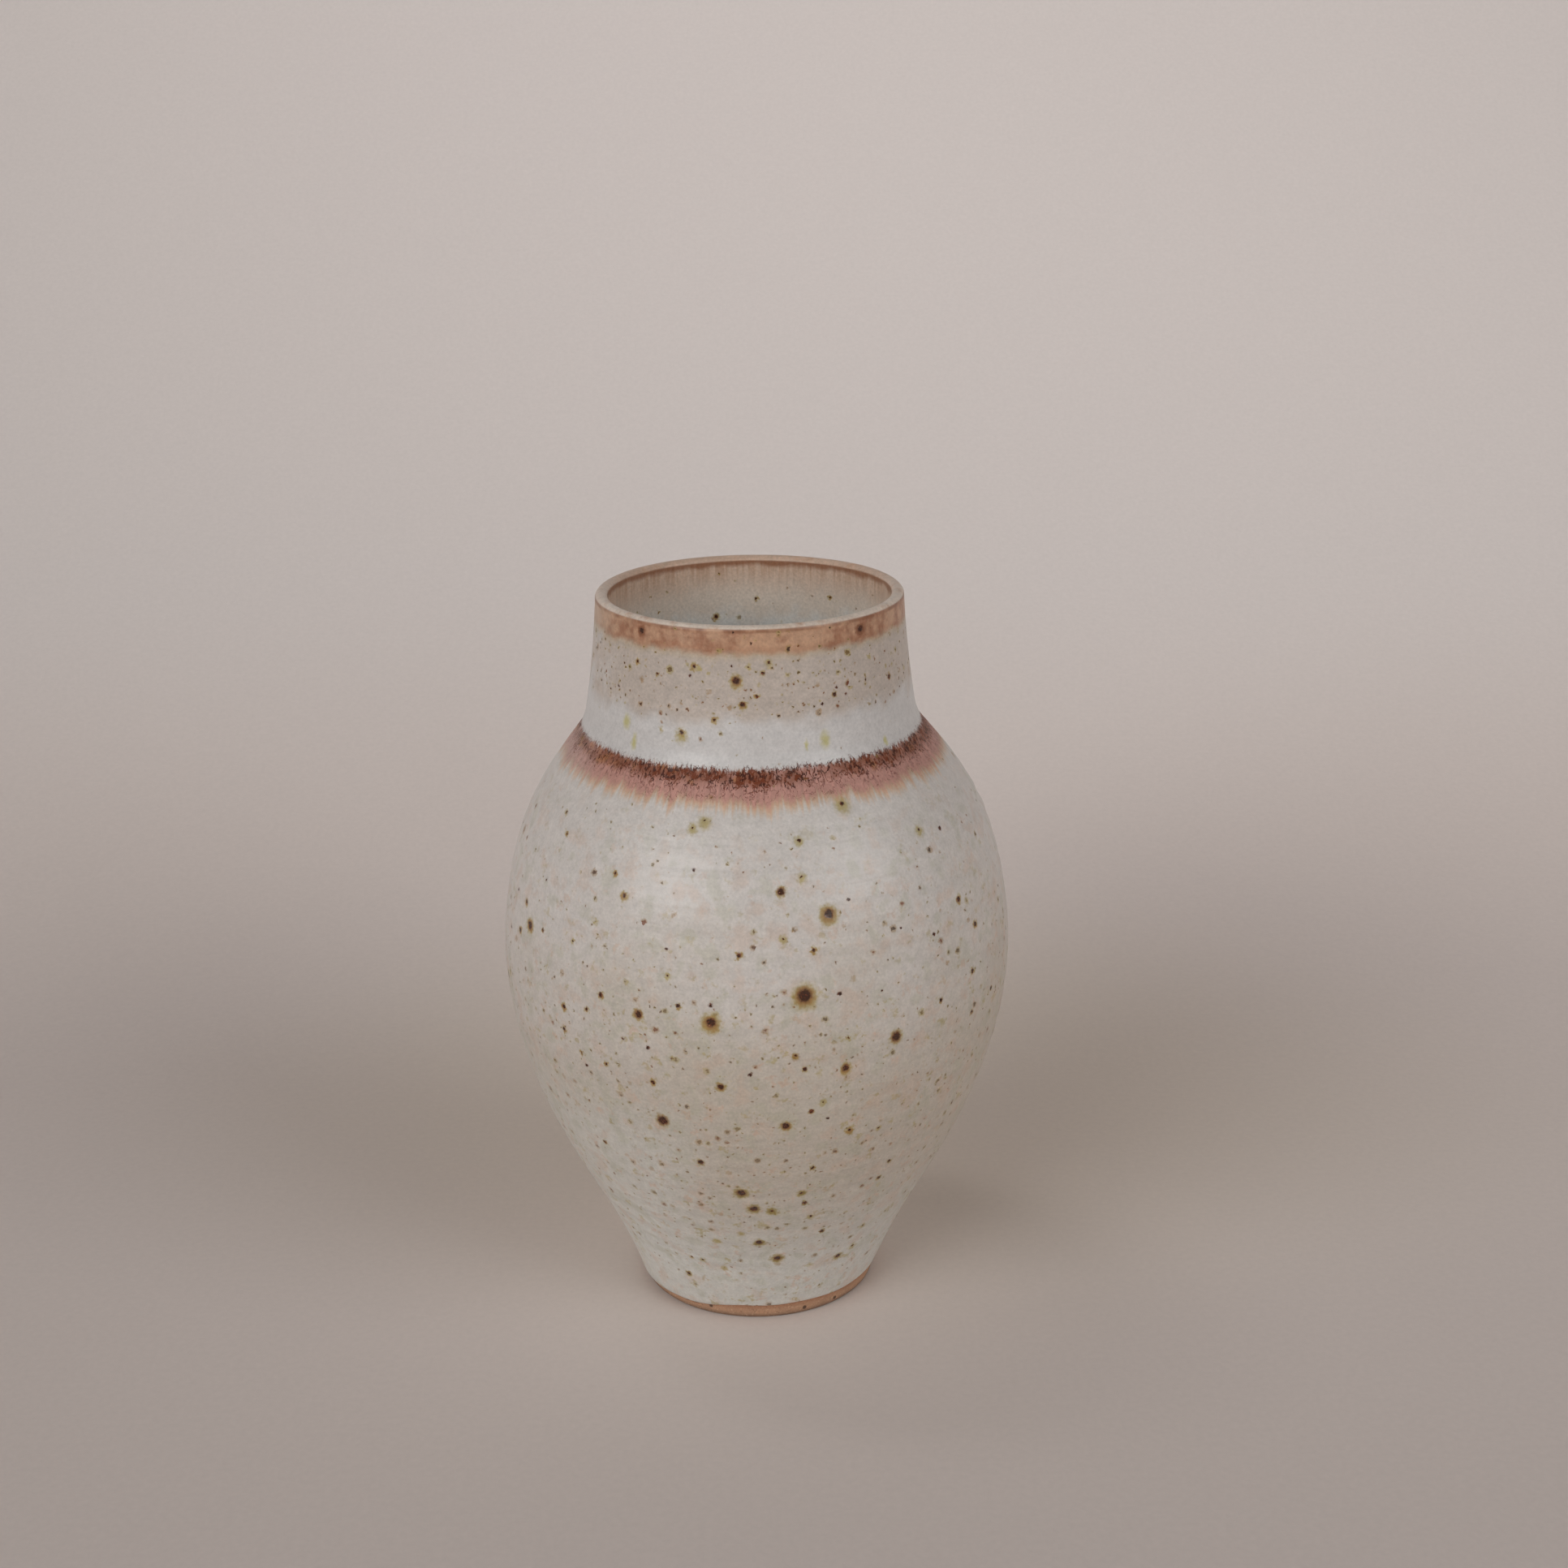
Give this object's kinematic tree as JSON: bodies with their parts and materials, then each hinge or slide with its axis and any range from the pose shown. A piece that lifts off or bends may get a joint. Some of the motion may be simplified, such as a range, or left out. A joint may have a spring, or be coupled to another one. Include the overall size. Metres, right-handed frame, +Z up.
{
  "type": "bud vase",
  "caption": "Small round-shouldered stoneware bud vase with a short open neck, banded glazes and a bare clay foot ring.",
  "frame": {"origin": "centre of the foot ring's underside, on the surface that the vase stands on", "axes": "+Z up along the axis the vase was thrown on, through the middle of the mouth; -Y is the front"},
  "size_m": [0.083, 0.083, 0.12],
  "materials": {
    "bare_stoneware": "unglazed, matt",
    "liner_glaze": "satin",
    "belly_glaze": "satin, iron speckled",
    "iron_band": "satin, granular",
    "collar_glaze": "satin",
    "neck_glaze": "satin, densely speckled",
    "rim_glaze": "satin, iron wash"
  },
  "bodies": {
    "root": {"stoneware_body": "bare_stoneware", "liner_glaze": "liner_glaze", "belly_glaze": "belly_glaze", "shoulder_glaze": "iron_band", "collar_glaze": "collar_glaze", "neck_glaze": "neck_glaze", "rim_glaze": "rim_glaze"}
  },
  "joints": []
}
